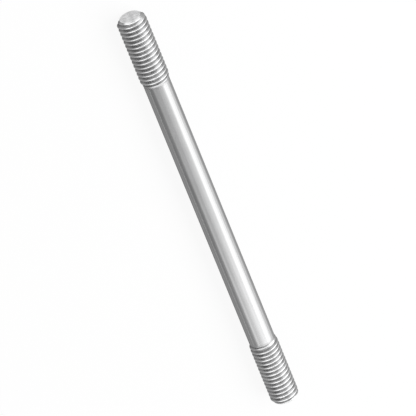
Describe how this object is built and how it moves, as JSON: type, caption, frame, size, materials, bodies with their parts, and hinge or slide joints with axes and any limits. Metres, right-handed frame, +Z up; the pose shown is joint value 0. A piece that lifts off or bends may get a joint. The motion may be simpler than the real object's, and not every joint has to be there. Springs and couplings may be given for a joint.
{
  "type": "double-ended stud",
  "caption": "Plain round steel shank with a coarse right-hand rolled thread and a chamfer at each end, for clamping parts between nuts or into a tapped hole.",
  "frame": {"origin": "on the stud's axis, halfway between its end faces", "axes": "+X along the axis to one end face, +Z up; the stud lies on the crests of both threads, whose lowest line is 3.95 mm under the axis"},
  "size_m": [0.125, 0.0078, 0.0078],
  "materials": {
    "bright_steel": "bright drawn shank and rolled threads, neutral grey, faint lengthwise draw marks"
  },
  "bodies": {
    "root": {"double_end_stud": "bright_steel"}
  },
  "joints": []
}
